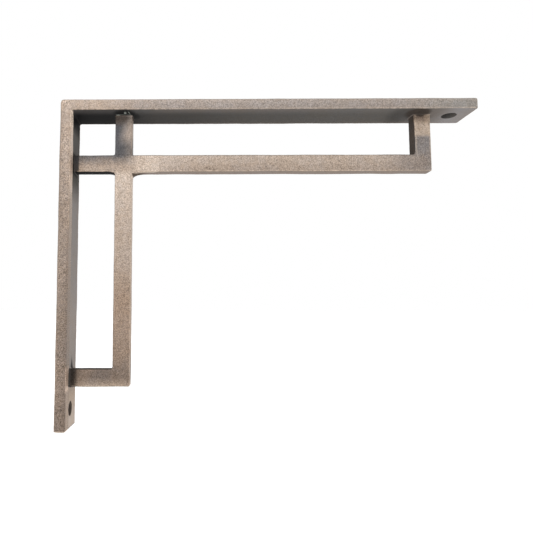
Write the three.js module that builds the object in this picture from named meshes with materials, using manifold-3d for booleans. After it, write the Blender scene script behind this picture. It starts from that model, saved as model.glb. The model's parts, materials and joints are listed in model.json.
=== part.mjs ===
// Cast bronze shelf bracket: an L of two flat plates, braced inside its angle by flat straps that
// cross to make a small square window, a long one under the shelf and a tall one beside the wall.
// Millimetres. +X leaves the wall, +Z is up, Y runs across the width.
// The origin is the middle of the face that lies against the wall.

import * as THREE from 'three';
import { mergeVertices } from 'three/addons/utils/BufferGeometryUtils.js';
import Module from 'manifold-3d';

const wasm = await Module();
wasm.setup();

// The L of plates.
const reach = 254; // wall to the tip of the shelf plate
const drop = 200; // shelf to the foot of the wall plate
const width = 25.4; // both plates, across the bracket
const shelfPlateThickness = 6.5;
const wallPlateThickness = 6.5;

// The straps, which stand on the middle of the plates' width.
const strapFace = 10.6; // seen from the side
const strapDepth = 7.6; // across the bracket
const windowGap = 25.8; // from each plate to the strap that runs beside it
const shelfTail = 25.2; // shelf plate left bare beyond the straps
const wallTail = 25.2; // wall plate left bare below the straps

// Softened edges and fillets of the casting.
const arrisRadius = 0.9; // edges along both side faces
const cornerRadius = arrisRadius + 0.2; // corners of the side profile, never tighter than the edges
const elbowFillet = 1.2; // inside the L
const rootFillet = 0.8; // where a strap grows out of a plate
const crossingFillet = 0.8; // corners of the windows
const crossingFilletUnderLeft = 1.4; // below the rail, on the wall side of the upright
const crossingFilletUnderRight = 2.4; // below the rail, on the open side
const curveSteps = 3; // facets in a quarter round

// One countersunk screw hole in each tail, driven from inside the angle.
const screwHeadDiameter = 9;
const screwBoreDiameter = 5.2;
const countersinkAngle = 82; // degrees, all round the cone
const shelfHoleSetback = 11.8; // hole centre to the tip
const wallHoleSetback = 11.8; // hole centre to the foot
const holeFacets = 32;
const overcut = 1; // how far a cutter runs past the metal

// Places that follow from the sizes.
const top = drop / 2;
const foot = -drop / 2;
const shelfUnderside = top - shelfPlateThickness;
const railTop = shelfUnderside - windowGap; // the rail is the long level strap
const railBottom = railTop - strapFace;
const uprightLeft = wallPlateThickness + windowGap; // the upright is the tall strap
const uprightRight = uprightLeft + strapFace;
const postRight = reach - shelfTail; // the post stands at the rail's end, under the shelf
const postLeft = postRight - strapFace;
const stubBottom = foot + wallTail; // the stub ties the upright's foot back to the wall
const stubTop = stubBottom + strapFace;

/** A closed outline of [x, z, radius] corners, all of them square, each one rounded by its radius. */
function roundedOutline(corners) {
  const shape = new THREE.Shape();
  corners.forEach(([x, z, radius = 0], i) => {
    const [beforeX, beforeZ] = corners.at(i - 1);
    const [afterX, afterZ] = corners[(i + 1) % corners.length];
    const corner = new THREE.Vector2(x, z);
    const back = new THREE.Vector2(beforeX, beforeZ).sub(corner).setLength(radius);
    const on = new THREE.Vector2(afterX, afterZ).sub(corner).setLength(radius);
    const start = corner.clone().add(back);
    if (i === 0) shape.moveTo(start.x, start.y);
    else shape.lineTo(start.x, start.y);
    if (radius === 0) return;
    const centre = start.clone().add(on);
    const clockwise = back.cross(on) > 0;
    shape.absarc(
      centre.x,
      centre.y,
      radius,
      Math.atan2(-on.y, -on.x),
      Math.atan2(-back.y, -back.x),
      clockwise,
    );
  });
  shape.closePath();
  return shape;
}

/** A side outline, drawn in X and Z, as a slab of this depth centred on Y, with its arrises rounded. */
function slab(outline, depth) {
  const geometry = new THREE.ExtrudeGeometry(outline, {
    depth: depth - 2 * arrisRadius,
    curveSegments: curveSteps,
    bevelThickness: arrisRadius,
    bevelSize: arrisRadius,
    bevelOffset: -arrisRadius,
    bevelSegments: curveSteps,
  });
  geometry.translate(0, 0, arrisRadius - depth / 2);
  geometry.rotateX(Math.PI / 2);
  return geometry;
}

/** A closed mesh as a solid that can be joined and cut. */
function solid(geometry) {
  const bare = geometry.clone();
  bare.deleteAttribute('normal');
  bare.deleteAttribute('uv');
  const merged = mergeVertices(bare, 1e-4);
  return new wasm.Manifold(new wasm.Mesh({
    numProp: 3,
    vertProperties: new Float32Array(merged.attributes.position.array),
    triVerts: new Uint32Array(merged.index.array),
  }));
}

/** A joined and cut solid, back as a geometry. */
function geometryOf(manifold) {
  const mesh = manifold.getMesh();
  const geometry = new THREE.BufferGeometry();
  geometry.setAttribute('position', new THREE.BufferAttribute(mesh.vertProperties, 3));
  geometry.setIndex(new THREE.BufferAttribute(mesh.triVerts, 1));
  geometry.computeVertexNormals();
  return geometry;
}

/** The two plates in one, as their L is seen from the side. */
function plates() {
  return slab(roundedOutline([
    [0, foot, cornerRadius],
    [wallPlateThickness, foot, cornerRadius],
    [wallPlateThickness, shelfUnderside, elbowFillet],
    [reach, shelfUnderside, cornerRadius],
    [reach, top, cornerRadius],
    [0, top, cornerRadius],
  ]), width);
}

/** A strap's end grown up into the shelf plate, from its right side round to its left. */
function rootInShelf(left, right) {
  const lip = 2 * rootFillet;
  const end = shelfUnderside + shelfPlateThickness / 2;
  return [
    [right, shelfUnderside, rootFillet],
    [right + lip, shelfUnderside],
    [right + lip, end],
    [left - lip, end],
    [left - lip, shelfUnderside],
    [left, shelfUnderside, rootFillet],
  ];
}

/** A strap's end grown into the wall plate, from its top round to its bottom. */
function rootInWall(bottom, top) {
  const lip = 2 * rootFillet;
  const end = wallPlateThickness / 2;
  return [
    [wallPlateThickness, top, rootFillet],
    [wallPlateThickness, top + lip],
    [end, top + lip],
    [end, bottom - lip],
    [wallPlateThickness, bottom - lip],
    [wallPlateThickness, bottom, rootFillet],
  ];
}

/** The rail, upright, post and stub in one, outlined counterclockwise from the upright's foot. */
function straps() {
  return slab(roundedOutline([
    [uprightRight, stubBottom, cornerRadius],
    [uprightRight, railBottom, crossingFilletUnderRight],
    [postRight, railBottom, cornerRadius],
    ...rootInShelf(postLeft, postRight),
    [postLeft, railTop, crossingFillet],
    [uprightRight, railTop, crossingFillet],
    ...rootInShelf(uprightLeft, uprightRight),
    [uprightLeft, railTop, crossingFillet],
    ...rootInWall(railBottom, railTop),
    [uprightLeft, railBottom, crossingFilletUnderLeft],
    [uprightLeft, stubTop, crossingFillet],
    ...rootInWall(stubBottom, stubTop),
  ]), strapDepth);
}

/** A cutter for a countersunk hole: its mouth is at the origin and its bore runs along +Y. */
function countersunkHole(plateThickness) {
  const headRadius = screwHeadDiameter / 2;
  const boreRadius = screwBoreDiameter / 2;
  const flare = Math.tan(THREE.MathUtils.degToRad(countersinkAngle / 2));
  const coneDepth = (headRadius - boreRadius) / flare;
  return new THREE.LatheGeometry([
    new THREE.Vector2(0, -overcut),
    new THREE.Vector2(headRadius + overcut * flare, -overcut),
    new THREE.Vector2(boreRadius, coneDepth),
    new THREE.Vector2(boreRadius, plateThickness + overcut),
    new THREE.Vector2(0, plateThickness + overcut),
  ], holeFacets);
}

/** The hole up through the shelf plate's tail. */
function shelfHole() {
  const cutter = countersunkHole(shelfPlateThickness);
  cutter.rotateX(Math.PI / 2);
  cutter.translate(reach - shelfHoleSetback, 0, shelfUnderside);
  return cutter;
}

/** The hole back through the wall plate's tail. */
function wallHole() {
  const cutter = countersunkHole(wallPlateThickness);
  cutter.rotateZ(Math.PI / 2);
  cutter.translate(wallPlateThickness, 0, foot + wallHoleSetback);
  return cutter;
}

/** The whole bracket, which is cast in one piece. */
function bracketCasting() {
  const casting = solid(plates())
    .add(solid(straps()))
    .subtract(solid(shelfHole()))
    .subtract(solid(wallHole()));
  const bronze = new THREE.MeshStandardMaterial({ color: 0xa8917c, roughness: 0.55, metalness: 0.85 });
  const mesh = new THREE.Mesh(geometryOf(casting), bronze);
  mesh.name = 'bracket_casting';
  return mesh;
}

const bracket = new THREE.Group();
bracket.add(bracketCasting());

export default bracket;
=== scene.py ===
"""Cast bronze shelf bracket: modelled from boxes, given its sand-cast skin and its rubbed-back patina."""

import json
import math

import bmesh
import bpy
import numpy as np
from bpy.props import FloatProperty, FloatVectorProperty, PointerProperty
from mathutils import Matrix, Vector


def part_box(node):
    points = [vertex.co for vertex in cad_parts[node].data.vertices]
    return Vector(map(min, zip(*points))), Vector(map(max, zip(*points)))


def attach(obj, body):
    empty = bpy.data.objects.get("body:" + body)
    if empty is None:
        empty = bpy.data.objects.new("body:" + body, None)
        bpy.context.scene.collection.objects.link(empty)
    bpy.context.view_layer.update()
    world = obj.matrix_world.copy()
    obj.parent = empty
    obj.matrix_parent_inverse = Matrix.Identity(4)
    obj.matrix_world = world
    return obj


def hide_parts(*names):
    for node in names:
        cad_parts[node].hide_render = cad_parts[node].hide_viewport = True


bl_info = {
    "name": "Cast bronze shelf bracket",
    "version": (1, 0, 0),
    "blender": (4, 5, 0),
    "location": "View3D > Sidebar > Bracket",
    "description": "Models a strapwork shelf bracket, its antiqued bronze finish and a pale studio",
    "category": "Object",
}

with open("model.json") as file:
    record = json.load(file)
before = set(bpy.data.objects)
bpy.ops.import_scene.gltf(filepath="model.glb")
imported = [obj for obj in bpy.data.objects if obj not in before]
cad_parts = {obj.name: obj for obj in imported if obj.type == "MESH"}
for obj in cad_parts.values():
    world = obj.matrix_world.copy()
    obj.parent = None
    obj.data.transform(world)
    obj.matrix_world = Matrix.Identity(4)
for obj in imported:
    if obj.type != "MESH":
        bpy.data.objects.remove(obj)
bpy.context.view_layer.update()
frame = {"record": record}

NODE = "bracket_casting"
BODY = "root"
MM = 0.001

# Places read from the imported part. The openings stand clear of the metal by a margin.
OPENING_MARGIN = 1 * MM
low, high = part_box(NODE)
mounts = {mount["name"]: Vector(mount["pos_m"]) for mount in frame["record"]["mounts"]}
openings = {space["name"]: space["box_m"] for space in frame["record"]["physics"]["openings"]}


def opening_side(name, end, axis):
    """Where the metal beside an opening starts: its low (0) or high (1) end on an axis."""
    outward = OPENING_MARGIN if end else -OPENING_MARGIN
    return openings[name][end]["xyz".index(axis)] + outward


wall_inner = mounts["wall_screw_face"].x
shelf_underside = mounts["shelf_screw_face"].z
wall_hole = mounts["wall_screw_face"].z
shelf_hole = mounts["shelf_screw_face"].x
upright_left = opening_side("square_window", 1, "x")
upright_right = opening_side("long_window", 0, "x")
strap_face = upright_right - upright_left
post_left = opening_side("long_window", 1, "x")
post_right = post_left + strap_face
rail_top = opening_side("long_window", 0, "z")
rail_bottom = rail_top - strap_face
stub_top = opening_side("tall_window", 0, "z")
stub_bottom = stub_top - strap_face
half_width = high.y


class Mark:
    """The same places in millimetres, as the finish reads them."""

    wall_inner = wall_inner / MM
    shelf_underside = shelf_underside / MM
    wall_hole = wall_hole / MM
    shelf_hole = shelf_hole / MM
    upright_left = upright_left / MM
    upright_right = upright_right / MM
    post_left = post_left / MM
    post_right = post_right / MM
    rail_top = rail_top / MM
    rail_bottom = rail_bottom / MM
    stub_top = stub_top / MM
    stub_bottom = stub_bottom / MM
    half_width = half_width / MM
    tip = high.x / MM
    top = high.z / MM
    foot = low.z / MM


def length_prop(name, description, default, least=0):
    """A length that a user can change."""
    return FloatProperty(name=name, description=description, default=default, min=least, unit="LENGTH")


def colour_prop(name, description, default):
    """A colour that a user can change."""
    return FloatVectorProperty(
        name=name,
        description=description,
        default=default,
        min=0,
        max=1,
        subtype="COLOR",
    )


class BracketSizes(bpy.types.PropertyGroup):
    """Sizes of the casting that its frame leaves open."""

    strap_depth: length_prop(
        "Strap depth", "Thickness of the straps across the bracket", 7.6 * MM, least=3 * MM
    )
    arris_radius: length_prop(
        "Arris radius", "Rounding of the edges along both side faces", 0.45 * MM, least=0.2 * MM
    )
    corner_radius: length_prop(
        "Corner radius", "Rounding of the side profile's outer corners", 0.7 * MM, least=0.2 * MM
    )
    elbow_corner_radius: length_prop(
        "Elbow corner radius",
        "Rounding of the outer corner where wall plate and shelf plate meet",
        1.8 * MM,
        least=0.2 * MM,
    )
    tail_corner_radius: length_prop(
        "Tail corner radius",
        "Rounding of each tail's two corners, seen square to the plate",
        1.8 * MM,
        least=0.2 * MM,
    )
    inner_fillet: length_prop(
        "Inner fillet", "Fillet in the corners of the windows", 0.3 * MM, least=0.1 * MM
    )
    elbow_fillet: length_prop("Elbow fillet", "Fillet inside the L of plates", 0.8 * MM, least=0.1 * MM)
    wall_web_reach: length_prop(
        "Wall web reach",
        "How far the web under the crossing runs out below the rail on the wall side",
        5.5 * MM,
        least=0.5 * MM,
    )
    wall_web_drop: length_prop(
        "Wall web drop",
        "How far the web under the crossing runs down the upright on the wall side",
        1.5 * MM,
        least=0.5 * MM,
    )
    open_web_reach: length_prop(
        "Open web reach",
        "How far the web under the crossing runs out below the rail on the open side",
        9 * MM,
        least=0.5 * MM,
    )
    open_web_drop: length_prop(
        "Open web drop",
        "How far the web under the crossing runs down the upright on the open side",
        2.7 * MM,
        least=0.5 * MM,
    )
    open_web_setback: length_prop(
        "Open web setback", "How far the open side's web stays behind the straps' front", 1.5 * MM
    )
    screw_head: length_prop(
        "Screw head", "Width of a countersink at the plate's face", 9.0 * MM, least=2 * MM
    )
    screw_bore: length_prop(
        "Screw bore", "Width of a screw hole behind its countersink", 5.2 * MM, least=1 * MM
    )
    countersink_angle: FloatProperty(
        name="Countersink angle",
        description="Angle of the cone, all round",
        default=math.radians(82),
        subtype="ANGLE",
    )
    skin_pitch: length_prop(
        "Skin pitch", "Size of the faces that carry the cast surface", 0.72 * MM, least=0.5 * MM
    )
    grain_height: length_prop("Grain height", "Height of the sand grain on the cast surface", 0.12 * MM)
    wave_height: length_prop("Wave height", "Height of the slow waves that a sand mould leaves", 0.35 * MM)


class BracketFinish(bpy.types.PropertyGroup):
    """Colours of the antiqued bronze."""

    tan: colour_prop("Rubbed bronze", "Side faces, where the patina is rubbed back", (0.345, 0.278, 0.226))
    pale: colour_prop("Pale bronze", "Side faces rubbed the most", (0.46, 0.385, 0.322))
    # Worn edges, and also the colour of the painted highlight on the post.
    gold: colour_prop("Worn edge", "Arrises rubbed to bare metal", (0.48, 0.38, 0.29))
    warm: colour_prop("Warm bronze", "Side face of the upright, half way down", (0.272, 0.203, 0.154))
    mauve: colour_prop("Cool bronze", "Side face of the shelf plate", (0.285, 0.25, 0.227))
    umber: colour_prop(
        "Brown patina", "Side faces low on the wall plate and on the stub", (0.16, 0.124, 0.1)
    )
    slate: colour_prop("Grey bloom", "Blue-grey patches that the rubbing missed", (0.075, 0.075, 0.079))
    # Dark patina, and also the colour of the painted shadows and painted shade.
    dark: colour_prop("Dark patina", "Inner faces near the corner, and recesses", (0.0095, 0.0093, 0.0093))
    smoke: colour_prop(
        "Thin dark patina", "Underside of the shelf plate away from the corner", (0.084, 0.078, 0.071)
    )
    film: colour_prop(
        "Thinnest patina", "Inner faces low on the wall plate and on both tails", (0.205, 0.191, 0.184)
    )
    flash: colour_prop("Flash", "Rough flecks of bare metal under the shelf plate", (0.4, 0.43, 0.38))


class BracketStudio(bpy.types.PropertyGroup):
    """The stage: camera, light and floor."""

    lens: FloatProperty(
        name="Lens",
        description="Focal length, in millimetres on a 36 mm sensor",
        default=33.28,
        min=10,
        unit="CAMERA",
    )
    daylight: FloatProperty(
        name="Surround",
        description="Brightness of the white surround",
        default=1.0,
        min=0,
    )
    floor_drop: length_prop("Floor drop", "Height of the bracket's foot over the floor", 60 * MM)
    key_size: length_prop("Key size", "Side of the square soft light", 1.4, least=0.1)
    key_power: FloatProperty(
        name="Key power",
        description="Power of the square soft light",
        default=14,
        min=0,
        unit="POWER",
    )


# Modelling by hand: everything is added, selected by place, and shaped in edit mode.


def deselect_all():
    """Leave edit mode, with nothing selected."""
    if bpy.context.object and bpy.context.object.mode != "OBJECT":
        bpy.ops.object.mode_set(mode="OBJECT")
    bpy.ops.object.select_all(action="DESELECT")


def block(name, corner, opposite):
    """A box between two corners, left in edit mode."""
    deselect_all()
    corner, opposite = Vector(corner), Vector(opposite)
    bpy.ops.mesh.primitive_cube_add(
        size=1,
        location=(corner + opposite) / 2,
        scale=opposite - corner,
    )
    piece = bpy.context.object
    piece.name = name
    bpy.ops.object.transform_apply(location=True, rotation=True, scale=True)
    bpy.ops.object.mode_set(mode="EDIT")
    return piece


def select_where(piece, kind, test):
    """Select just the faces or edges of the piece that pass a test."""
    bpy.ops.mesh.select_mode(type=kind)
    bpy.ops.mesh.select_all(action="DESELECT")
    mesh = bmesh.from_edit_mesh(piece.data)
    for part in mesh.faces if kind == "FACE" else mesh.edges:
        if test(part):
            part.select_set(True)
    bmesh.update_edit_mesh(piece.data)


def extrude_to(piece, towards, until, near):
    """Extrude the face that looks along an axis, and lies nearest a point, up to a place on that axis."""
    direction = Vector(towards)
    mesh = bmesh.from_edit_mesh(piece.data)
    facing = [face for face in mesh.faces if face.normal.dot(direction) > 0.99]
    nearest = min(facing, key=lambda face: (face.calc_center_median() - Vector(near)).length)
    spot = nearest.calc_center_median()
    length = until * sum(direction) - spot.dot(direction)
    chosen = nearest.index
    select_where(piece, "FACE", lambda face: face.index == chosen)
    bpy.ops.mesh.extrude_region_move(TRANSFORM_OT_translate={"value": direction * length})
    bmesh.from_edit_mesh(piece.data).normal_update()


def round_edges(piece, radius, steps, test):
    """Round the edges that pass a test, in this many facets."""
    select_where(piece, "EDGE", test)
    bpy.ops.mesh.bevel(offset=radius, segments=steps, profile=0.5, affect="EDGES")


def at(place, value):
    """Whether a coordinate lies at a place, within a hundredth of a millimetre."""
    return abs(place - value) < 0.01 * MM


def runs_through(edge, **places):
    """Whether both ends of an edge lie at the given places, such as x and z for an edge along Y."""
    wanted = [("xyz".index(axis), value) for axis, value in places.items()]
    return all(at(vert.co[axis], value) for vert in edge.verts for axis, value in wanted)


def is_arris(edge, side):
    """Whether an edge bounds one of the two side faces, which lie this far from the middle plane."""
    across = [abs(face.normal.y) > 0.5 for face in edge.link_faces]
    return all(at(abs(vert.co.y), side) for vert in edge.verts) and any(across) and not all(across)


def apply_modifier(piece, kind, **settings):
    """Add a modifier, set it and apply it."""
    modifier = piece.modifiers.new(kind.lower(), kind)
    for name, value in settings.items():
        setattr(modifier, name, value)
    bpy.context.view_layer.objects.active = piece
    bpy.ops.object.modifier_apply(modifier=modifier.name)


def joined(pieces):
    """Join pieces into the first."""
    deselect_all()
    for piece in pieces:
        piece.select_set(True)
    bpy.context.view_layer.objects.active = pieces[0]
    bpy.ops.object.join()
    return pieces[0]


def model_plates(sizes):
    """The L: a corner block grown down the wall and out under the shelf."""
    corner = (low.x, low.y, shelf_underside)
    plates = block("plates", corner, (wall_inner, high.y, high.z))
    middle = (wall_inner / 2, 0, shelf_underside)
    extrude_to(plates, (0, 0, -1), low.z, middle)
    extrude_to(plates, (1, 0, 0), high.x, (wall_inner, 0, high.z))
    round_edges(
        plates,
        sizes.elbow_fillet,
        4,
        lambda edge: runs_through(edge, x=wall_inner, z=shelf_underside),
    )
    round_edges(plates, sizes.elbow_corner_radius, 4, lambda edge: runs_through(edge, x=low.x, z=high.z))
    for y in (low.y, high.y):
        round_edges(plates, sizes.tail_corner_radius, 4, lambda edge: runs_through(edge, x=high.x, y=y))
        round_edges(plates, sizes.tail_corner_radius, 4, lambda edge: runs_through(edge, z=low.z, y=y))
    for x, z in (
        (high.x, high.z),
        (high.x, shelf_underside),
        (low.x, low.z),
        (wall_inner, low.z),
    ):
        round_edges(plates, sizes.corner_radius, 4, lambda edge: runs_through(edge, x=x, z=z))
    round_edges(plates, sizes.arris_radius, 3, lambda edge: is_arris(edge, half_width))
    return plates


def model_straps(sizes):
    """The straps: their crossing grown out to the plates, round by the post and by the stub."""
    half = sizes.strap_depth / 2
    in_wall = wall_inner / 2
    in_shelf = (shelf_underside + high.z) / 2
    straps = block("straps", (upright_left, -half, rail_bottom), (upright_right, half, rail_top))
    upright = (upright_left + upright_right) / 2
    rail = (rail_top + rail_bottom) / 2
    post = (post_left + post_right) / 2
    stub = (stub_top + stub_bottom) / 2
    extrude_to(straps, (-1, 0, 0), in_wall, (upright_left, 0, rail))
    extrude_to(straps, (0, 0, 1), in_shelf, (upright, 0, rail_top))
    extrude_to(straps, (1, 0, 0), post_left, (upright_right, 0, rail))
    extrude_to(straps, (1, 0, 0), post_right, (post_left, 0, rail))
    extrude_to(straps, (0, 0, 1), in_shelf, (post, 0, rail_top))
    extrude_to(straps, (0, 0, -1), stub_top, (upright, 0, rail_bottom))
    extrude_to(straps, (0, 0, -1), stub_bottom, (upright, 0, stub_top))
    extrude_to(straps, (-1, 0, 0), in_wall, (upright_left, 0, stub))
    crossing = [(x, z) for z in (rail_top, rail_bottom) for x in (upright_left, upright_right)]
    for x, z in crossing + [(post_left, rail_top), (upright_left, stub_top)]:
        round_edges(straps, sizes.inner_fillet, 4, lambda edge: runs_through(edge, x=x, z=z))
    for x, z in ((post_right, rail_bottom), (upright_right, stub_bottom)):
        round_edges(straps, sizes.corner_radius, 4, lambda edge: runs_through(edge, x=x, z=z))
    round_edges(straps, sizes.arris_radius, 3, lambda edge: is_arris(edge, half))
    bpy.ops.object.mode_set(mode="OBJECT")
    return straps


def model_web(sizes, corner, outward, reach, drop, front):
    """A hollow-faced web of metal under the rail, in its corner with one side of the upright."""
    back = sizes.strap_depth / 2 - sizes.arris_radius
    inwards = 1 * MM  # how far it runs into the straps
    left, right = sorted((corner - outward * inwards, corner + outward * reach))
    web = block("web", (left, front, rail_bottom - drop), (right, back, rail_bottom + inwards))
    deselect_all()
    bpy.ops.mesh.primitive_cylinder_add(
        vertices=64,
        radius=1,
        depth=4 * sizes.strap_depth,
        location=(corner + outward * reach, 0, rail_bottom - drop),
        rotation=(math.pi / 2, 0, 0),
    )
    hollow = bpy.context.object
    hollow.scale = (reach, drop, 1)
    bpy.ops.object.transform_apply(location=True, rotation=True, scale=True)
    apply_modifier(web, "BOOLEAN", operation="DIFFERENCE", object=hollow, solver="EXACT")
    bpy.data.objects.remove(hollow)
    return web


def model_webs(sizes):
    """The two webs under the crossing: the open side's is longer and stands back from the front."""
    half = sizes.strap_depth / 2
    wall_web = (sizes.wall_web_reach, sizes.wall_web_drop, sizes.arris_radius / 2 - half)
    open_web = (sizes.open_web_reach, sizes.open_web_drop, sizes.open_web_setback - half)
    return [
        model_web(sizes, upright_left, -1, *wall_web),
        model_web(sizes, upright_right, 1, *open_web),
    ]


def screw_cutter(sizes, mouth, direction):
    """A cone and its bore, from just outside a plate's face and on through the plate."""
    beyond = 1 * MM  # how far the cutter runs past the metal
    slope = math.tan(sizes.countersink_angle / 2)
    cone_depth = (sizes.screw_head - sizes.screw_bore) / 2 / slope
    turn = Vector(direction).to_track_quat("Z", "Y").to_euler()
    pieces = []
    deselect_all()
    bpy.ops.mesh.primitive_cone_add(
        vertices=48,
        radius1=sizes.screw_head / 2 + beyond * slope,
        radius2=sizes.screw_bore / 2,
        depth=cone_depth + beyond,
        location=Vector(mouth) + Vector(direction) * (cone_depth - beyond) / 2,
        rotation=turn,
    )
    pieces.append(bpy.context.object)
    length = max(wall_inner, high.z - shelf_underside) + beyond
    bpy.ops.mesh.primitive_cylinder_add(
        vertices=48,
        radius=sizes.screw_bore / 2,
        depth=length,
        location=Vector(mouth) + Vector(direction) * (length / 2 + beyond / 2),
        rotation=turn,
    )
    pieces.append(bpy.context.object)
    return pieces


def drill(plates, sizes):
    """Cut the countersunk screw hole in each tail."""
    cutters = screw_cutter(sizes, (wall_inner, 0, wall_hole), (-1, 0, 0))
    cutters += screw_cutter(sizes, (shelf_hole, 0, shelf_underside), (0, 0, 1))
    for cutter in cutters:
        apply_modifier(plates, "BOOLEAN", operation="DIFFERENCE", object=cutter, solver="EXACT")
        bpy.data.objects.remove(cutter)


def fleck(place, size, turn):
    """A rough fleck of flash: its place and half sizes in millimetres, turned about the vertical."""
    deselect_all()
    bpy.ops.mesh.primitive_ico_sphere_add(
        subdivisions=3,
        radius=1,
        location=Vector(place) * MM,
        rotation=(0, 0, math.radians(turn)),
        scale=Vector(size) * MM,
    )
    bpy.ops.object.transform_apply(location=True, rotation=True, scale=True)
    piece = bpy.context.object
    rough = clouds("flash", 0.8 * MM, 1)
    apply_modifier(piece, "DISPLACE", texture=rough, texture_coords="LOCAL", strength=0.6 * MM)
    return piece


def model_flecks():
    """Flash left under the shelf plate beside the upright's end."""
    left, right, under = Mark.upright_left, Mark.upright_right, Mark.shelf_underside
    return [
        fleck((right - 4, -7.4, under), (0.8, 1.7, 0.35), 10),
        fleck((right - 1.5, -7, under), (0.3, 2.9, 0.4), -10),
        fleck((left + 1.9, -4.2, under - 0.4), (1.3, 0.5, 0.4), 0),
    ]


def clouds(name, size, depth):
    """A cloudy texture for displacement, with features of this size."""
    texture = bpy.data.textures.new(name, "CLOUDS")
    texture.noise_scale = size
    texture.noise_depth = depth
    return texture


def cast_skin(casting, sizes):
    """One skin over the joined blocks, with a sand mould's slow waves and its grain."""
    apply_modifier(casting, "REMESH", mode="VOXEL", voxel_size=sizes.skin_pitch)
    apply_modifier(casting, "SMOOTH", factor=0.5, iterations=1)
    waves = clouds("mould waves", 22 * MM, 1)
    apply_modifier(casting, "DISPLACE", texture=waves, texture_coords="LOCAL", strength=sizes.wave_height)
    grain = clouds("sand grain", 1.7 * MM, 1)
    apply_modifier(casting, "DISPLACE", texture=grain, texture_coords="LOCAL", strength=sizes.grain_height)


def mark_wear(casting, rounds=2):
    """Store how far the surface bends out (1) or in (0) at each point; a flat place has 0.5.

    It is averaged over its neighbours in rounds, so that single grains of sand count for little.
    """
    mesh = casting.data
    count = len(mesh.vertices)
    place = np.empty((count, 3))
    normal = np.empty((count, 3))
    mesh.vertices.foreach_get("co", place.ravel())
    mesh.vertices.foreach_get("normal", normal.ravel())
    ends = np.empty((len(mesh.edges), 2), int)
    mesh.edges.foreach_get("vertices", ends.ravel())
    first, second = ends.T
    run = place[second] - place[first]
    run /= np.linalg.norm(run, axis=1)[:, None]
    neighbours = np.bincount(ends.ravel(), minlength=count)

    def gather(at_first, at_second):
        total = np.bincount(first, at_first, count) + np.bincount(second, at_second, count)
        return total / neighbours

    bend = gather(-(run * normal[first]).sum(1), (run * normal[second]).sum(1))
    for _ in range(rounds):
        bend = (bend + gather(bend[second], bend[first])) / 2
    wear = mesh.attributes.new("wear", "FLOAT", "POINT")
    wear.data.foreach_set("value", np.clip(0.5 + bend, 0, 1).astype(np.float32))


def model_casting(sizes):
    """The whole bracket in one piece, with its cast skin, its flash and its wear."""
    plates = model_plates(sizes)
    bpy.ops.object.mode_set(mode="OBJECT")
    drill(plates, sizes)
    casting = joined([plates, model_straps(sizes), *model_webs(sizes)])
    casting.name = "bracket"
    cast_skin(casting, sizes)
    casting = joined([casting, *model_flecks()])
    mark_wear(casting)
    bpy.ops.object.shade_smooth()
    return casting


# Shader maths: a socket with arithmetic, and one method that adds any node.


class Shade:
    """A value that changes over the surface, so that masks can be added and multiplied."""

    def __init__(self, finish, socket):
        self.finish = finish
        self.socket = socket

    def __add__(self, other):
        return self.finish.maths("ADD", self, other)

    __radd__ = __add__

    def __sub__(self, other):
        return self.finish.maths("SUBTRACT", self, other)

    def __rsub__(self, other):
        return self.finish.maths("SUBTRACT", other, self)

    def __mul__(self, other):
        return self.finish.maths("MULTIPLY", self, other)

    __rmul__ = __mul__

    def __truediv__(self, other):
        return self.finish.maths("DIVIDE", self, other)

    def __abs__(self):
        return self.finish.maths("ABSOLUTE", self)

    def most(self, other):
        """The larger of the two."""
        return self.finish.maths("MAXIMUM", self, other)

    def above(self, start, full):
        """0 under start, 1 over full, and smooth between; start may be the larger."""
        return self.finish.node(
            "ShaderNodeMapRange",
            {"interpolation_type": "SMOOTHSTEP"},
            {"Value": self, "From Min": start, "From Max": full},
        )

    def within(self, first, last, soft):
        """1 between two places, fading out over a soft width outside them."""
        return self.above(first - soft, first) * self.above(last + soft, last)


class Finish:
    """A material and its nodes."""

    def __init__(self, name):
        self.material = bpy.data.materials.new(name)
        self.material.use_nodes = True
        self.tree = self.material.node_tree
        self.tree.nodes.clear()

    def node(self, kind, settings=None, values=None, output=0):
        """Add a node: its settings first, then the values or links of its sockets."""
        made = self.tree.nodes.new(kind)
        for name, value in (settings or {}).items():
            setattr(made, name, value)
        for name, value in (values or {}).items():
            if isinstance(value, Shade):
                self.tree.links.new(value.socket, made.inputs[name])
            else:
                made.inputs[name].default_value = value
        return Shade(self, made.outputs[output]) if made.outputs else None

    def maths(self, operation, *values):
        """Add a maths node that works on these values."""
        return self.node("ShaderNodeMath", {"operation": operation}, dict(enumerate(values)))

    def parts(self, vector):
        """A vector's X, Y and Z."""
        return [self.node("ShaderNodeSeparateXYZ", values={0: vector}, output=axis) for axis in "XYZ"]

    def tint(self, colour, share):
        """A colour made a little warmer (0) or cooler (1)."""
        hue = self.mix((1.02, 0.995, 0.975), (0.985, 0.995, 1.025), share)
        return self.node("ShaderNodeVectorMath", {"operation": "MULTIPLY"}, {0: colour, 1: hue})

    def scale(self, colour, amount):
        """A colour made lighter or darker without a change of hue."""
        return self.node("ShaderNodeVectorMath", {"operation": "SCALE"}, {0: colour, "Scale": amount})

    def mix(self, under, over, share):
        """One colour laid over another by a mask."""
        under, over = [tuple(c) + (1,) if not isinstance(c, Shade) else c for c in (under, over)]
        return self.node("ShaderNodeMix", {"data_type": "RGBA"}, {0: share, 6: under, 7: over}, output=2)

    def ramp(self, value, *stops):
        """Colours met in order along a value, each at its own place, and blended between."""
        tone = stops[0][1]
        for (start, _), (end, colour) in zip(stops, stops[1:]):
            tone = self.mix(tone, colour, value.above(start, end))
        return tone

    def noise(self, place, size, detail=2, roughness=0.5):
        """Cloudy noise with features of about this size."""
        return self.node(
            "ShaderNodeTexNoise",
            values={"Vector": place, "Scale": 1 / size, "Detail": detail, "Roughness": roughness},
        )


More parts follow.
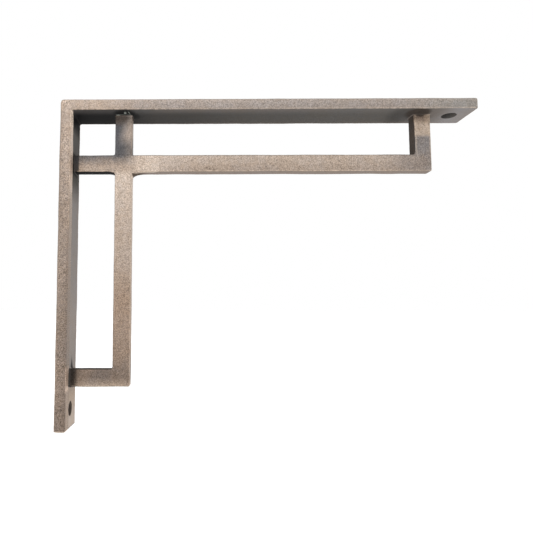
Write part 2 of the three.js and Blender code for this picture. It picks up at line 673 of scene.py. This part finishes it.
class Spot:
    """Where a point of the surface lies, in millimetres, which way it faces and how far it bends.

    Sand, clump and mottle are noise from fine to coarse, and pores is 1 in small holes. The straps'
    sides lie at strap_side from the middle, and a countersink's colour ends at screw_reach from its axis.
    """

    def __init__(self, finish, sizes):
        self.strap_side = sizes.strap_depth / MM / 2
        self.screw_reach = sizes.screw_head / MM / 2 + 0.2
        place = finish.node("ShaderNodeTexCoord", output="Object")
        facing = finish.node("ShaderNodeTexCoord", output="Normal")
        self.x, self.y, self.z = [part / MM for part in finish.parts(place)]
        self.out, self.across, self.up = finish.parts(facing)
        self.sand = finish.noise(place, 0.5 * MM, 1, 0.5) - 0.5
        self.clump = finish.noise(place, 2.4 * MM, 2, 0.5) - 0.5
        self.mottle = finish.noise(place, 13 * MM, 3, 0.55) - 0.5
        self.pores = finish.noise(place, 1.1 * MM, 0).above(0.66, 0.78)
        self.bend = finish.node("ShaderNodeAttribute", {"attribute_name": "wear"}, output="Fac")

        # Along the plates with wandering boundaries, for everything that fades into its neighbour.
        self.along = self.x + self.mottle * 12 + self.clump * 2
        self.down = self.mottle * 12 + self.clump * 2 - self.z
        self.rise = self.z + self.clump * 2 + self.mottle * 4

    def near(self, x, y, z, reach, core=0.4):
        """1 at a place, fading from a share of the reach to 0 at the reach; an axis of None is free."""
        total = 0
        for here, there in ((self.x, x), (self.y, y), (self.z, z)):
            if there is not None:
                gap = here - there
                total = gap * gap + total
        return total.above(reach * reach, (reach * core) ** 2)


def shelf_side(paint, colours, spot):
    """Warm at the corner and cooler outwards, duller along its lower half away from the corner."""
    middle = paint.mix(paint.mix(colours.mauve, colours.tan, 0.1), colours.pale, 0.06)
    browner = paint.mix(paint.mix(colours.mauve, colours.tan, 0.2), colours.umber, 0.1)
    cool = paint.mix(paint.mix(colours.mauve, colours.slate, 0.2), colours.flash, 0.15)
    tone = paint.ramp(
        spot.along,
        (18, colours.tan),
        (60, browner),
        (100, middle),
        (200, middle),
        (Mark.tip - 4, cool),
    )
    upper = spot.z.above(Mark.shelf_underside + 3, Mark.top - 0.4)
    tone = paint.mix(tone, colours.pale, upper * 0.22)
    dull = spot.z.above(Mark.top - 3, Mark.shelf_underside + 0.5) * spot.x.above(40, 90)
    return paint.mix(tone, colours.umber, dull * 0.15)


def wall_side(paint, colours, spot):
    """Warm at the corner and brown at the foot, lighter inwards near its top and outwards lower down."""
    mix = paint.mix
    tone = paint.ramp(
        spot.down,
        (-86, mix(colours.tan, colours.umber, 0.17)),
        (-20, mix(colours.tan, colours.umber, 0.5)),
        (60, mix(colours.umber, colours.tan, 0.24)),
        (90, mix(colours.umber, colours.tan, 0.12)),
    )
    tone = mix(tone, colours.warm, spot.down.within(64, 80, 8) * 0.3)
    slope = 0.05 - spot.down.above(-60, 30) * 0.08
    tone = paint.scale(tone, (spot.x - Mark.wall_inner / 2) * slope + 1)

    # The inner arris: golden on the tail, and painted light makes it lighter beside the stub and towards
    # the shelf.
    inside = spot.out.above(0.3, 0.8)
    beside_stub = spot.z.within(Mark.stub_bottom - 0.2, Mark.stub_top + 0.2, 3)
    # Painted light: how much lighter, by height, the faces that look away from the wall are painted.
    painted_light_gain = (spot.z.above(38, 46) * 0.55 + 1.25) * (spot.z.above(78, 90) * 0.6 + 1)
    painted_light_gain = painted_light_gain * (beside_stub * 1.1 + 1)
    on_tail = spot.z.above(Mark.stub_bottom + 1.8, Mark.stub_bottom - 3.2)
    rim = inside * on_tail * spot.y.above(0.7 - Mark.half_width, 2.3 - Mark.half_width)
    golden = paint.scale(mix(colours.warm, colours.gold, 0.1), 0.88)
    tone = mix(tone, golden, rim * 0.95)
    tone = paint.scale(tone, 1 + inside * (painted_light_gain - 1))
    return mix(tone, colours.gold, spot.z.above(Mark.foot + 1.3, Mark.foot + 0.6) * 0.6)


def rail_side(paint, colours, spot):
    """Grey along its top on the wall side, bright right of the crossing and dull at its far end."""
    mix = paint.mix
    bottom, top = Mark.rail_bottom, Mark.rail_top
    near_wall = mix(colours.tan, colours.umber, 0.08)
    near_wall = mix(near_wall, colours.slate, spot.rise.above(bottom + 1.4, top + 0.8) * 0.85)
    bright = mix(colours.tan, colours.pale, 0.95)
    open_side = mix(colours.tan, colours.pale, spot.z.above(bottom + 2.9, top + 0.3) * 0.4 + 0.08)
    open_side = mix(open_side, colours.umber, spot.z.above(bottom + 5.9, bottom - 0.1) * 0.25)
    dull = mix(colours.umber, colours.mauve, 0.6)
    tone = paint.ramp(
        spot.along,
        (Mark.upright_left + 3.7, near_wall),
        (Mark.upright_right + 5.1, mix(colours.tan, colours.pale, 0.8)),
        (Mark.upright_right + 11.1, bright),
    )
    tidemark = Mark.upright_right + 17.1
    tone = paint.ramp(
        spot.x + spot.clump * 1.5,
        (tidemark - 0.6, tone),
        (tidemark + 0.7, mix(open_side, bright, 0.4)),
        (85, open_side),
        (120, open_side),
        (150, mix(open_side, colours.pale, 0.14)),
        (192, mix(open_side, colours.pale, 0.06)),
        (Mark.post_right - 0.8, dull),
    )
    tone = paint.scale(tone, 1 - spot.pores * 0.14)
    pits = spot.near(89.5, None, bottom + 2.5, 0.9)
    pits = pits.most(spot.near(91.4, None, bottom + 1.7, 0.8))
    pits = pits.most(spot.near(94, None, bottom + 0.8, 1.1))
    return mix(tone, colours.umber, pits * 0.7)


def upright_side(paint, colours, spot):
    """Pale under the crossing, warm half way down and brown at the foot."""
    return paint.ramp(
        spot.down,
        (-66, colours.pale),
        (-8, colours.tan),
        (24, colours.warm),
        (38, colours.warm),
        (78, paint.mix(colours.umber, colours.warm, 0.1)),
    )


def upright_top_side(paint, colours, spot):
    """Grey on the wall side and at the foot of this short length, and warm towards the shelf."""
    warm = paint.mix(colours.mauve, colours.tan, 0.7)
    grey = paint.mix(colours.slate, colours.film, 0.05)
    tone = paint.ramp(spot.x - spot.z * 0.2 + spot.clump * 1.5, (17, grey), (26, warm))
    bloom = 0.95 - spot.x.above(Mark.upright_left + 3.7, Mark.upright_right - 0.9) * 0.24
    at_foot = spot.rise.above(Mark.rail_top + 14.3, Mark.rail_top + 4.3)
    tone = paint.mix(tone, colours.slate, at_foot * bloom)
    brown = paint.mix(colours.umber, colours.dark, 0.35)
    # A dark patch where the upright meets the shelf plate.
    dark_patch = spot.near(Mark.upright_left + 2.2, None, Mark.shelf_underside, 8.2)
    return paint.mix(tone, brown, dark_patch * 0.85)


def post_side(paint, colours, spot):
    """Golden at its top and grey below, with a sharp tidemark and a dark patch under the shelf; painted
    shade darkens its top towards the shelf, a painted highlight lightens its right side and a painted
    shadow lies along its left edge near the shelf.
    """
    mix = paint.mix
    left, right, under = Mark.post_left, Mark.post_right, Mark.shelf_underside
    tidemark = 79.5
    grey = mix(colours.mauve, colours.slate, 0.36)
    golden = mix(colours.tan, colours.gold, 0.45)
    shaded = mix(colours.umber, colours.warm, 0.8)
    deepest_shade = mix(colours.dark, colours.umber, 0.3)
    # Towards the shelf the post is painted in shade, darkest right under it.
    upper = paint.ramp(
        spot.z + spot.clump,
        (tidemark - 1.3, grey),
        (tidemark + 1.3, golden),
        (under - 7.5, golden),
        (under - 2.2, shaded),
        (under - 0.1, deepest_shade),
    )
    above_mark = spot.z.above(tidemark - 0.5, tidemark + 2.5)
    # A painted highlight down the post's right side, above the tidemark.
    upper = mix(upper, colours.gold, spot.x.above(right - 5, right - 1) * above_mark * 0.45)
    rims = spot.x.above(right - 1.8, right - 0.8).most(spot.x.within(left + 0.9, left + 1.6, 0.3))
    tone = mix(upper, colours.gold, rims * 0.3)
    # A dark patch at the post's top, where it meets the shelf plate.
    dark_patch = spot.near(left + 4, None, under + 1.5, 4.6)
    tone = mix(tone, mix(colours.dark, colours.warm, 0.08), dark_patch * 0.92)
    # A painted shadow along the post's left edge, near the shelf.
    left_edge_shadow = spot.x.above(left + 0.8, left + 0.45) * spot.z.above(under - 3.5, under - 8.5)
    return mix(tone, colours.dark, left_edge_shadow * 0.85)


def stub_side(paint, colours, spot):
    """Brown, warmer towards the wall, greyer half way out and rubbed along its lower edge."""
    tone = paint.mix(colours.umber, colours.warm, spot.x.above(32, 16) * 0.2)
    tone = paint.mix(tone, colours.slate, spot.x.within(21, 27, 6) * 0.18)
    tone = paint.mix(tone, colours.tan, spot.x.above(31, 38) * 0.08)
    lower = spot.z.above(Mark.stub_top - 4.3, Mark.stub_bottom - 0.7)
    return paint.mix(tone, colours.gold, lower * 0.5)


def side_tones(paint, colours, spot):
    """Each part's side face, with the dark roots of the straps that grow out of the wall plate."""
    mix = paint.mix
    tones = upright_side(paint, colours, spot)
    on_rail = spot.rise.above(Mark.rail_bottom - 2.6, Mark.rail_bottom + 0.9)
    tones = mix(tones, rail_side(paint, colours, spot), on_rail)
    on_upright = spot.x.within(Mark.upright_left - 1, Mark.upright_right + 1, 0.4)
    above_rail = spot.z.above(Mark.rail_top - 2.2, Mark.rail_top + 0.8)
    tones = mix(tones, upright_top_side(paint, colours, spot), on_upright * above_rail)
    on_post = spot.x.above(Mark.post_left - 1, Mark.post_left)
    above_rail = spot.z.above(Mark.rail_top - 1.7, Mark.rail_top + 2.3)
    tones = mix(tones, post_side(paint, colours, spot), on_post * above_rail)
    on_stub = spot.down.above(-Mark.stub_top - 3.2, -Mark.stub_top + 1.8)
    tones = mix(tones, stub_side(paint, colours, spot), on_stub)

    rail_root = spot.x.above(Mark.wall_inner + 3.9, Mark.wall_inner + 2.9) * spot.z.above(50, 52)
    tones = mix(tones, mix(colours.dark, colours.slate, 0.3), rail_root * 0.92)
    over_stub = spot.z.above(Mark.stub_top + 4.2, Mark.stub_top + 1.2)
    stub_root = spot.x.above(Mark.wall_inner + 6.1, Mark.wall_inner + 2.1) * over_stub
    tones = mix(tones, colours.dark, stub_root * 0.85)
    # Faces that look away from the wall are painted a quarter lighter: painted light from the right.
    tones = paint.scale(tones, spot.out.above(0.3, 0.8) * 0.25 + 1)

    clear_of_straps = abs(spot.y).above(spot.strap_side + 0.6, spot.strap_side + 1.4)
    on_wall = spot.x.above(Mark.wall_inner + 1.7, Mark.wall_inner + 1.3)
    tones = mix(tones, wall_side(paint, colours, spot), on_wall * clear_of_straps)
    on_shelf = spot.z.above(Mark.shelf_underside - 0.8, Mark.shelf_underside - 0.2)
    return mix(tones, shelf_side(paint, colours, spot), on_shelf * clear_of_straps)


def shelf_under(paint, colours, spot):
    """Near black in the corner, thinner outwards, darker around the strap ends and light on the tail."""
    mix = paint.mix
    left, right = Mark.post_left, Mark.post_right
    tone = paint.ramp(
        spot.x + spot.mottle * 6,
        (24, colours.dark),
        (64, mix(colours.dark, colours.smoke, 0.48)),
        (130, mix(colours.dark, colours.smoke, 0.85)),
        (176, colours.smoke),
        (left - 18, colours.smoke),
        (left - 10, mix(colours.smoke, colours.dark, 0.25)),
        (right, mix(colours.smoke, mix(colours.film, colours.umber, 0.4), 0.48)),
        (Mark.tip - 8, colours.film),
    )
    brown = mix(colours.umber, colours.dark, 0.35)
    tone = mix(tone, brown, spot.y.above(-4.5, -11.5) * spot.x.within(80, 145, 35) * 0.6)
    tone = mix(tone, colours.warm, spot.y.above(8, 12.2) * spot.x.above(50, 90) * 0.1)
    near_edge = spot.y.above(-1.5, -12)
    tone = mix(tone, colours.film, near_edge * spot.x.above(right + 1, 190) * 0.28)
    tone = mix(tone, colours.dark, spot.near(left - 5, -2, None, 13, 0.4) * 0.15)
    # A dark patch around the post's top.
    dark_patch = mix(colours.dark, colours.warm, 0.13)
    tone = mix(tone, dark_patch, spot.near(left + 2.3, -5, None, 9, 0.6) * 0.9)
    tone = mix(tone, colours.dark, spot.near(Mark.upright_right - 4.6, -5, None, 8.5, 0.5) * 0.8)
    return mix(tone, colours.dark, spot.near(Mark.upright_right - 0.4, -1, None, 6, 0.6) * 0.7)


def wall_inside(paint, colours, spot):
    """Near black in the corner and around both strap roots, with a painted shadow above the stub, and bare
    enough to shine lower down.
    """
    mix = paint.mix
    bright = mix(colours.film, colours.pale, 0.31)
    tone = paint.ramp(
        spot.down,
        (-90, colours.dark),
        (-80, mix(colours.smoke, colours.film, 0.12)),
        (-70, mix(colours.smoke, colours.film, 0.12)),
        (-64, mix(colours.dark, colours.smoke, 0.5)),
        (-56, mix(colours.dark, colours.smoke, 0.75)),
        (-34, mix(colours.film, bright, 0.3)),
        (5, mix(colours.film, bright, 0.6)),
        (35, bright),
    )
    leaning = spot.z + spot.y * 0.15
    top, bottom = Mark.stub_top, Mark.stub_bottom
    tone = paint.ramp(
        leaning,
        (bottom - 0.2, tone),
        (bottom - 1.2, mix(colours.tan, colours.gold, 0.1)),
        (bottom - 7.2, mix(colours.tan, colours.gold, 0.32)),
        (Mark.foot + 6, mix(colours.pale, colours.tan, 0.3)),
    )
    beside_strap = abs(spot.y).above(spot.strap_side + 3.8, spot.strap_side + 2.6)
    rail_root = spot.z.within(Mark.rail_bottom - 0.6, Mark.rail_top + 0.3, 2) * beside_strap
    stub_root = leaning.within(bottom - 0.4, top - 0.3, 0.5) * beside_strap
    # A painted shadow: a dark triangle on the inner face over the stub.
    shadow_peak = (abs(spot.y - 1.4) * 2.3 + spot.z).above(top + 9.2, top + 4.7)
    shadow_above_stub = shadow_peak * leaning.above(bottom - 0.4, bottom + 0.2)
    return mix(tone, colours.dark, rail_root.most(stub_root).most(shadow_above_stub) * 0.82)


def strap_inside(paint, colours, spot):
    """The straps' narrow faces: dark where they face the wall or hang over the tall window, and on the
    open side in painted shade under the crossing, lighter further out.
    """
    dark_side = paint.mix(colours.umber, colours.dark, 0.68)
    brown = paint.mix(colours.dark, colours.warm, 0.28)
    lit = paint.mix(colours.film, paint.mix(colours.umber, colours.tan, 0.27), 0.7)
    right = Mark.upright_right
    # Undersides: painted shade in the corner under the crossing, lighter further out along the rail.
    stops = ((right - 3, colours.dark), (right, brown), (right + 3, brown), (right + 11, lit))
    below = paint.ramp(spot.x, *stops)
    return paint.mix(dark_side, below, spot.up.above(-0.3, -0.7))


def outside_faces(spot):
    """The faces against the shelf and the wall, and both tips."""
    outside = spot.x.above(1.5, 0.7)
    for place, limit, inwards in ((spot.z, Mark.top, -1), (spot.x, Mark.tip, -1), (spot.z, Mark.foot, 1)):
        outside = outside.most(place.above(limit + inwards * 1.5, limit + inwards * 0.7))
    return outside


def outer_tones(paint, colours, spot):
    """Brown with lighter places where the casting was ground flat."""
    ground = (spot.mottle * 1.6 + spot.clump * 1.2 + 0.3).above(-0.4, 1.2)
    return paint.mix(colours.umber, colours.tan, ground * 0.6)


def inner_tones(paint, colours, spot, on_plate, outside):
    """Every face but the two sides, with the screw holes."""
    mix = paint.mix
    below = spot.up.above(-0.3, -0.7)
    plates = mix(wall_inside(paint, colours, spot), shelf_under(paint, colours, spot), below)
    tones = mix(strap_inside(paint, colours, spot), plates, on_plate)
    tones = mix(tones, outer_tones(paint, colours, spot), outside)
    bored = on_plate * (1 - outside)
    # The countersinks are painted dark as painted shade in the holes; the shelf's is painted lighter
    # towards its right as painted light.
    in_shelf = spot.near(Mark.shelf_hole, 0, None, spot.screw_reach, 0.9) * bored
    in_wall = spot.near(None, 0, Mark.wall_hole, spot.screw_reach, 0.9) * bored
    lit = spot.x.above(Mark.shelf_hole - 2.2, Mark.shelf_hole + 3.8) * 0.45 + 0.35
    tones = mix(tones, mix(colours.dark, colours.smoke, lit), in_shelf)
    return mix(tones, mix(colours.dark, colours.umber, 0.35), in_wall)


def rubbing(spot, on_plate):
    """Where the patina is rubbed back: side faces, a band inside the wall plate, outer strap faces."""
    wall, under, right = Mark.wall_inner, Mark.shelf_underside, Mark.upright_right

    # Plates: a narrow band in from each side, wide on the wall plate's inner face.
    inner_face = spot.x.above(wall - 1.7, wall - 0.9)
    inside_wall = inner_face * spot.z.above(under - 0.7, under - 1.5) * spot.y.above(1, -1)
    on_tail = spot.z.above(Mark.stub_bottom - 0.2, Mark.stub_bottom - 4.2)
    wide = 5.8 + spot.z.within(-58, 32, 12) * 0.9 + on_tail * 1.6
    outer = spot.x.above(2.5, 1.5).most(spot.z.above(Mark.top - 2.5, Mark.top - 1.5))
    elbow = (spot.x + spot.y * 0.25).above(wall - 1.7, wall - 2.1) * inner_face
    elbow = elbow * spot.z.within(under - 1.5, under + 1, 0.8)
    band = inside_wall * wide + outer * 0.5 + elbow * 20 + 0.8
    depth = Mark.half_width - abs(spot.y)
    on_plates = (band - depth + spot.clump * 0.9 + spot.sand * 0.6).above(-0.35, 0.35)

    # Straps: their side faces, those that look away from the wall, and a lip above the open web.
    depth = spot.strap_side - abs(spot.y)
    on_straps = (depth + spot.sand * 0.4).above(0.5, 0.2)
    in_web = spot.near(right + 3.3, None, Mark.rail_bottom - 1.1, 3.4, 0.85)
    outwards = spot.out.above(0.3, 0.6) * (1 - in_web) * spot.z.above(under - 1, under - 4)
    lip = spot.x.within(right + 0.5, right + 11.1, 6)
    lip = lip * spot.y.above(2.1 - spot.strap_side, 1.7 - spot.strap_side)
    lip = lip * spot.z.within(Mark.rail_bottom - 0.5, Mark.rail_bottom + 0.9, 0.4)
    on_straps = on_straps.most(outwards).most(lip)
    return on_plates * on_plate + on_straps * (1 - on_plate)


def bronze(colours, sizes):
    """Dark patina all over, rubbed back to tan on the side faces and to gold along the arrises."""
    paint = Finish("antiqued bronze")
    mix = paint.mix
    spot = Spot(paint, sizes)
    wall, under = Mark.wall_inner, Mark.shelf_underside
    on_plate = spot.x.above(wall + 0.8, wall + 0.3).most(spot.z.above(under - 0.8, under - 0.3))
    rubbed = rubbing(spot, on_plate)
    tones = side_tones(paint, colours, spot)
    outside = outside_faces(spot)
    colour = mix(inner_tones(paint, colours, spot, on_plate, outside), tones, rubbed)

    # Arrises: worn to gold where hands and cloths reach, less along the shelf plate.
    handled = spot.up.above(-0.15, -0.5).most(spot.out.above(0.15, 0.5))
    handled = handled * (1 - on_plate * spot.z.within(Mark.foot + 2, 20, 1))
    along_shelf = spot.z.above(under - 1.5, under - 0.5) * spot.x.above(55, 85)
    handled = handled * (1 - along_shelf * 0.35)
    towards_wall = spot.out.above(-0.15, -0.5) * spot.z.above(-10, -60) * on_plate
    handled = handled.most(towards_wall * 0.45)
    arris = spot.bend.above(0.525, 0.585) * rubbed * handled * (spot.clump * 3 + 0.72)
    colour = mix(colour, paint.scale(mix(tones, colours.gold, 0.45), 1.12), arris)

    # Flecks of flash under the shelf plate.
    flecks = spot.near(Mark.upright_right - 4.9, -7, under - 0.5, 7, 0.9)
    flecks = flecks * spot.y.above(-spot.strap_side - 0.5, -spot.strap_side - 0.9)
    flecks = flecks * spot.z.above(under, under - 0.4)
    colour = mix(colour, mix(colours.flash, colours.smoke, 0.3), flecks * 0.8)

    # Warmer and cooler clouds, and sand grit, which is fainter where the patina is whole.
    colour = paint.tint(colour, (spot.mottle * 2 + spot.clump * 1.5).above(-0.4, 0.4))
    grit = spot.sand * 2.1 + spot.clump * 0.25 + spot.mottle * 0.1
    on_wall = spot.x.above(wall + 1, wall)
    bloomed = spot.z.within(Mark.rail_top + 2.3, under - 1.5, 2) * (1 - on_wall)
    grit = grit * (0.92 + on_wall * 0.35 - bloomed * (0.35 - spot.x.above(100, 200) * 0.3))
    colour = paint.scale(colour, 1 + grit * (rubbed.most(outside) * 0.75 + 0.25))
    bump = paint.node(
        "ShaderNodeBump",
        values={"Height": spot.sand + spot.clump * 0.6, "Strength": 0.4, "Distance": 0.15 * MM},
    )
    surface = paint.node(
        "ShaderNodeBsdfPrincipled",
        values={
            "Base Color": colour,
            "Metallic": rubbed * 0.6,
            "Roughness": 0.62 - rubbed * 0.12,
            "Specular IOR Level": 0.02,
            "Normal": bump,
        },
    )
    paint.node("ShaderNodeOutputMaterial", values={"Surface": surface})
    return paint.material


class BRACKET_OT_casting(bpy.types.Operator):
    """Model the bracket's one casting and give it its antiqued bronze finish"""

    bl_idname = "bracket.casting"
    bl_label = "Casting"

    def execute(self, context):
        sizes = context.scene.bracket_sizes
        casting = model_casting(sizes)
        casting.data.materials.append(bronze(context.scene.bracket_finish, sizes))
        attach(casting, BODY)
        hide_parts(NODE)
        return {"FINISHED"}


# Stage.

CAMERA_PLACE = Vector((80.4, -303.9, -28.05)) * MM
CAMERA_PITCH = math.radians(4.56)
CAMERA_YAW = math.radians(0.70)
CAMERA_ROLL = math.radians(-0.06)
SENSOR_WIDTH = 36
PHOTO_SIDE = 533
PHOTO_CENTRE = (186.0, 269.8)
FLOOR_SIZE = 60
KEY_PLACE = Vector((-0.7, -1.3, 1.1))
KEY_TARGET = Vector((0.1, 0, 0))


def place_camera(studio):
    """The camera of the photograph, whose optical centre lies left of the picture's middle."""
    deselect_all()
    bpy.ops.object.camera_add(
        location=CAMERA_PLACE,
        rotation=(math.pi / 2 + CAMERA_PITCH, CAMERA_ROLL, CAMERA_YAW),
    )
    camera = bpy.context.object
    camera.data.sensor_width = SENSOR_WIDTH
    camera.data.lens = studio.lens
    camera.data.shift_x = 0.5 - PHOTO_CENTRE[0] / PHOTO_SIDE
    camera.data.shift_y = PHOTO_CENTRE[1] / PHOTO_SIDE - 0.5
    camera.data.clip_start = 10 * MM
    bpy.context.scene.camera = camera


class BRACKET_OT_studio(bpy.types.Operator):
    """Set up the camera, the soft light and the pale floor"""

    bl_idname = "bracket.studio"
    bl_label = "Studio"

    def execute(self, context):
        studio = context.scene.bracket_studio
        place_camera(studio)
        deselect_all()
        bpy.ops.mesh.primitive_plane_add(size=FLOOR_SIZE, location=(0, 0, low.z - studio.floor_drop))
        floor = bpy.context.object
        floor.name = "floor"
        pale = Finish("pale floor")
        surface = pale.node(
            "ShaderNodeBsdfPrincipled",
            values={
                "Base Color": (0.85, 0.85, 0.85, 1),
                "Roughness": 0.9,
                "Emission Color": (1, 1, 1, 1),
                "Emission Strength": 0.3,
            },
        )
        pale.node("ShaderNodeOutputMaterial", values={"Surface": surface})
        floor.data.materials.append(pale.material)
        world = bpy.data.worlds.new("white surround")
        world.use_nodes = True
        background = world.node_tree.nodes["Background"]
        background.inputs["Color"].default_value = (1, 1, 1, 1)
        background.inputs["Strength"].default_value = studio.daylight
        context.scene.world = world
        context.scene.view_settings.view_transform = "Standard"
        deselect_all()
        bpy.ops.object.light_add(type="AREA", location=KEY_PLACE)
        key = bpy.context.object
        key.rotation_euler = (KEY_TARGET - KEY_PLACE).to_track_quat("-Z", "Y").to_euler()
        key.data.size = studio.key_size
        key.data.energy = studio.key_power
        return {"FINISHED"}


class BRACKET_PT_panel(bpy.types.Panel):
    """Buttons and sizes of the bracket"""

    bl_idname = "BRACKET_PT_panel"
    bl_label = "Bracket"
    bl_space_type = "VIEW_3D"
    bl_region_type = "UI"
    bl_category = "Bracket"

    def draw(self, context):
        for operator in OPERATORS:
            self.layout.operator(operator.bl_idname)
        for group in ("bracket_sizes", "bracket_finish", "bracket_studio"):
            settings = getattr(context.scene, group)
            box = self.layout.box()
            for name in settings.__annotations__:
                box.prop(settings, name)


GROUPS = {
    "bracket_sizes": BracketSizes,
    "bracket_finish": BracketFinish,
    "bracket_studio": BracketStudio,
}
OPERATORS = (BRACKET_OT_casting, BRACKET_OT_studio)


def register():
    for name, group in GROUPS.items():
        bpy.utils.register_class(group)
        setattr(bpy.types.Scene, name, PointerProperty(type=group))
    for shown in OPERATORS + (BRACKET_PT_panel,):
        bpy.utils.register_class(shown)


def unregister():
    for shown in reversed(OPERATORS + (BRACKET_PT_panel,)):
        bpy.utils.unregister_class(shown)
    for name, group in reversed(GROUPS.items()):
        delattr(bpy.types.Scene, name)
        bpy.utils.unregister_class(group)


def main():
    register()
    bpy.ops.bracket.studio()
    bpy.ops.bracket.casting()


if __name__ == "__main__":
    main()
